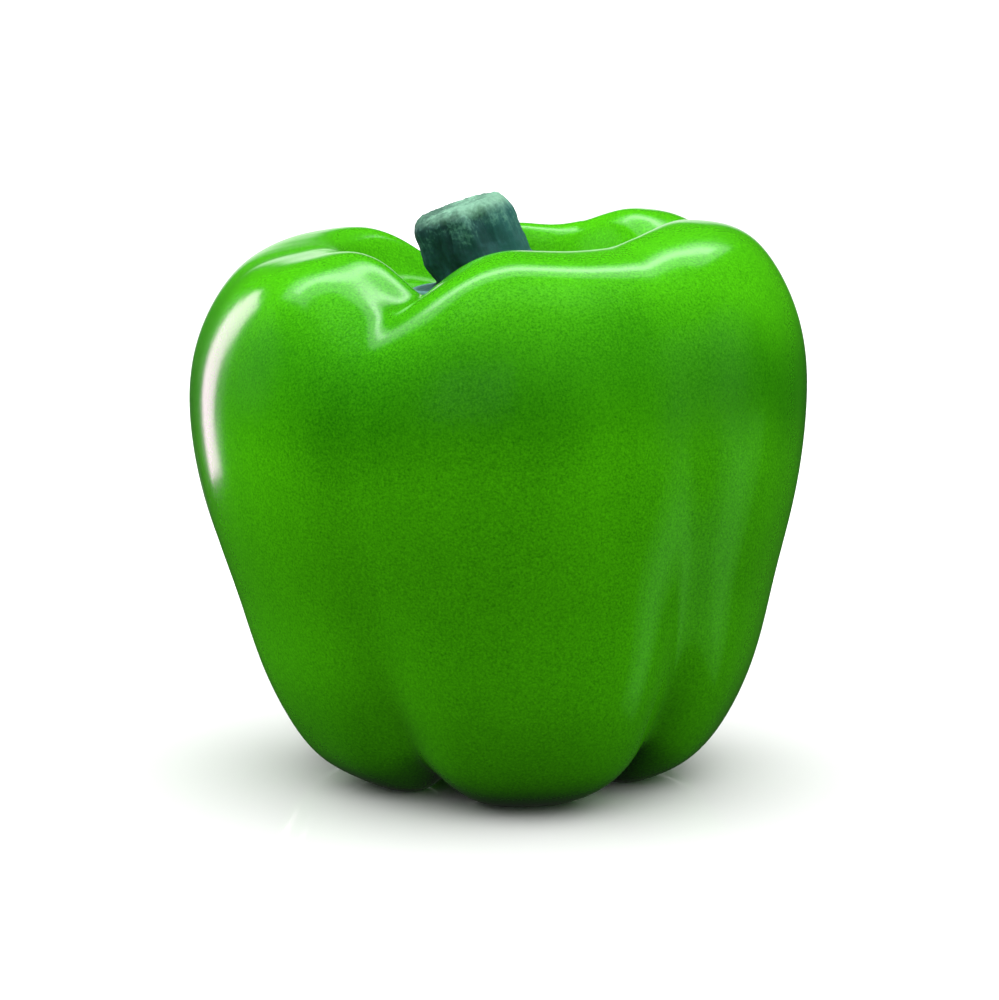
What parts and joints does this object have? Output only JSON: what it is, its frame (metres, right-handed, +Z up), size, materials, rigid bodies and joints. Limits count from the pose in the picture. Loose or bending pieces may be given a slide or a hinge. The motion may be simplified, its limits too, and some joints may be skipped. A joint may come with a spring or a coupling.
{
  "type": "bell pepper",
  "caption": "Green bell pepper with lobed, glossy skin, a sunken top and a short, leaning cut stem. Stands on its lobes.",
  "frame": {"origin": "on the surface that the pepper stands on, below the middle of its bounding box", "axes": "+Z up, -Y towards the front lobe, +X towards the right lobe, away from which the stem leans"},
  "size_m": [0.0892, 0.0882, 0.0843],
  "materials": {
    "skin": "smooth, glossy green skin, slightly paler along the lobes",
    "stem": "matt, dark bluish green, scuffed pale at the cut end"
  },
  "bodies": {
    "root": {"fruit": "skin", "stem_with_calyx": "stem"}
  },
  "joints": []
}
